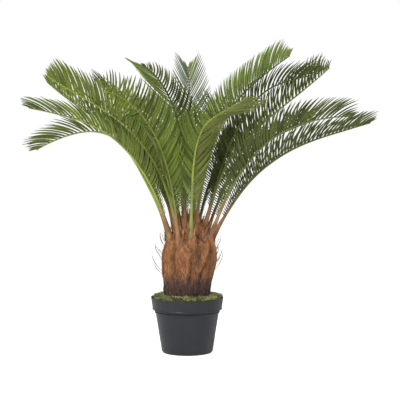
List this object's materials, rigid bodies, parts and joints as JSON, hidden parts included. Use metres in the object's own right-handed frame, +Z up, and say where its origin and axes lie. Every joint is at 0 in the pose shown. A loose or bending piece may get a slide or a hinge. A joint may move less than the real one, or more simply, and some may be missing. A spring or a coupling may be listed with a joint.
{
  "type": "artificial sago palm",
  "caption": "Artificial sago palm with arching feathered fronds on a coir-wrapped barrel trunk, set in a plain round plastic pot, for indoor decoration.",
  "frame": {"origin": "centre of the pot's flat underside, on the floor", "axes": "+Z up along the pot's axis; the pictured side faces -Y; +X is to the right as seen from there"},
  "size_m": [0.8305, 0.702, 0.7242],
  "materials": {
    "pot_plastic": "matte moulded",
    "filling": "rough cement",
    "moss": "loose fibre",
    "coir": "coarse fibre wrap",
    "leaf": "satin moulded leaf"
  },
  "bodies": {
    "root": {"pot": "pot_plastic", "pot_fill": "filling", "moss": "moss", "trunk": "coir", "frond_01": "leaf", "frond_02": "leaf", "frond_03": "leaf", "frond_04": "leaf", "frond_05": "leaf", "frond_06": "leaf", "frond_07": "leaf", "frond_08": "leaf", "frond_09": "leaf", "frond_10": "leaf", "frond_11": "leaf", "frond_12": "leaf", "frond_13": "leaf", "frond_14": "leaf", "frond_15": "leaf", "frond_16": "leaf", "frond_17": "leaf", "frond_18": "leaf", "frond_19": "leaf", "frond_20": "leaf"}
  },
  "joints": []
}
